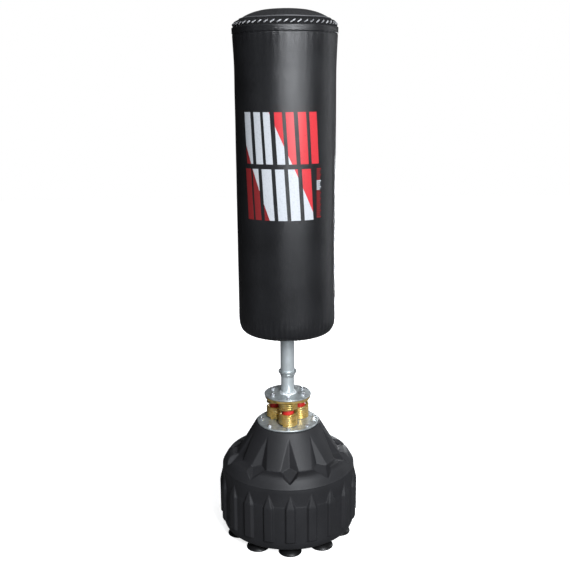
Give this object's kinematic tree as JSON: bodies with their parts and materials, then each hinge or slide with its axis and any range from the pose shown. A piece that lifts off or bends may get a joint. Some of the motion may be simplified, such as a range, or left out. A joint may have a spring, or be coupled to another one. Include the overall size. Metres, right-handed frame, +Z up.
{
  "type": "free-standing punch bag",
  "caption": "Tall padded punch bag on a steel post, sprung on coil springs over a fillable round base that grips the floor with suction cups.",
  "frame": {"origin": "on the floor, under the centre line of the base and the post", "axes": "+Z up along the post, -Y towards the front of the bag, +X to the right seen from the front"},
  "size_m": [0.483, 0.483, 1.76],
  "materials": {
    "tank_plastic": "satin",
    "cup_rubber": "gloss",
    "zinc_steel": "satin",
    "fastener_steel": "satin",
    "insert_brass": "satin",
    "gold_spring": "satin",
    "red_urethane": "satin",
    "nylon": "matte",
    "foam": "matte",
    "felt": "matte",
    "board": "matte",
    "bag_leather": "satin",
    "rim_trim": "satin",
    "lace_thread": "matte"
  },
  "bodies": {
    "base": {"base_shell": "tank_plastic", "suction_cup_01": "cup_rubber", "suction_cup_02": "cup_rubber", "suction_cup_03": "cup_rubber", "suction_cup_04": "cup_rubber", "suction_cup_05": "cup_rubber", "suction_cup_06": "cup_rubber", "suction_cup_07": "cup_rubber", "suction_cup_08": "cup_rubber", "suction_cup_09": "cup_rubber", "suction_cup_10": "cup_rubber", "cup_studs": "fastener_steel", "cup_inserts": "insert_brass", "flange_inserts": "insert_brass", "base_flange": "zinc_steel", "flange_bolts": "fastener_steel", "flange_washers": "fastener_steel", "lower_seat_screws": "fastener_steel", "lower_seat_1": "fastener_steel", "lower_seat_2": "fastener_steel", "lower_seat_3": "fastener_steel", "buffer_1": "red_urethane", "buffer_2": "red_urethane", "buffer_3": "red_urethane"},
    "shock_springs": {"spring_1": "gold_spring", "spring_2": "gold_spring", "spring_3": "gold_spring"},
    "post": {"spring_plate": "fastener_steel", "upper_seat_1": "fastener_steel", "upper_seat_2": "fastener_steel", "upper_seat_3": "fastener_steel", "upper_seat_screws": "fastener_steel", "post_plate": "zinc_steel", "disc_bolts": "fastener_steel", "disc_washers": "fastener_steel", "stub_post": "zinc_steel", "post_weld": "zinc_steel", "stop_collar": "zinc_steel", "spigot": "fastener_steel", "upper_post": "zinc_steel"},
    "thrust_bearing": {"thrust_cap": "nylon"},
    "bag": {"inner_sleeve": "nylon", "sleeve_plate": "nylon", "foam_core": "foam", "foam_wrap": "foam", "textile_wrap": "felt", "top_pad": "foam", "bottom_board": "board", "bottom_cover": "bag_leather", "bag_cover": "bag_leather", "rim_band": "bag_leather", "rim_gusset": "bag_leather", "rim_piping": "rim_trim", "rim_lacing": "lace_thread", "top_cover": "bag_leather"},
    "cap_seal": {"cap_gasket": "cup_rubber"},
    "filler_cap": {"fill_cap": "tank_plastic"}
  },
  "joints": [
    {"name": "sway_fore_aft", "type": "hinge", "parent": "base", "child": "shock_springs", "pos_m": [0, 0, 0.4433], "axis": [1, 0, 0], "range_deg": [-10, 10], "stiffness_Nm_per_rad": 1500, "deforming": ["spring_1", "spring_2", "spring_3"]},
    {"name": "sway_sideways", "type": "hinge", "parent": "shock_springs", "child": "post", "pos_m": [0, 0, 0.4433], "axis": [0, 1, 0], "range_deg": [-10, 10], "stiffness_Nm_per_rad": 1500, "deforming": ["spring_1", "spring_2", "spring_3"]},
    {"name": "bag_spin", "type": "hinge", "parent": "post", "child": "thrust_bearing", "pos_m": [0, 0, 1.3923], "axis": [0, 0, 1], "continuous": true},
    {"name": "bag_lift", "type": "slide", "parent": "thrust_bearing", "child": "bag", "axis": [0, 0, 1], "range_m": [0, 0.7]},
    {"name": "cap_turn", "type": "hinge", "parent": "base", "child": "cap_seal", "pos_m": [0, 0.165, 0.345], "axis": [0, 0, 1], "range_deg": [0, 1440]},
    {"name": "cap_lift", "type": "slide", "parent": "cap_seal", "child": "filler_cap", "axis": [0, 0, 1], "range_m": [0, 0.016]}
  ],
  "couplings": [
    {"joint": "cap_turn", "follows": "cap_lift", "rad_per_m": 1570.8}
  ]
}
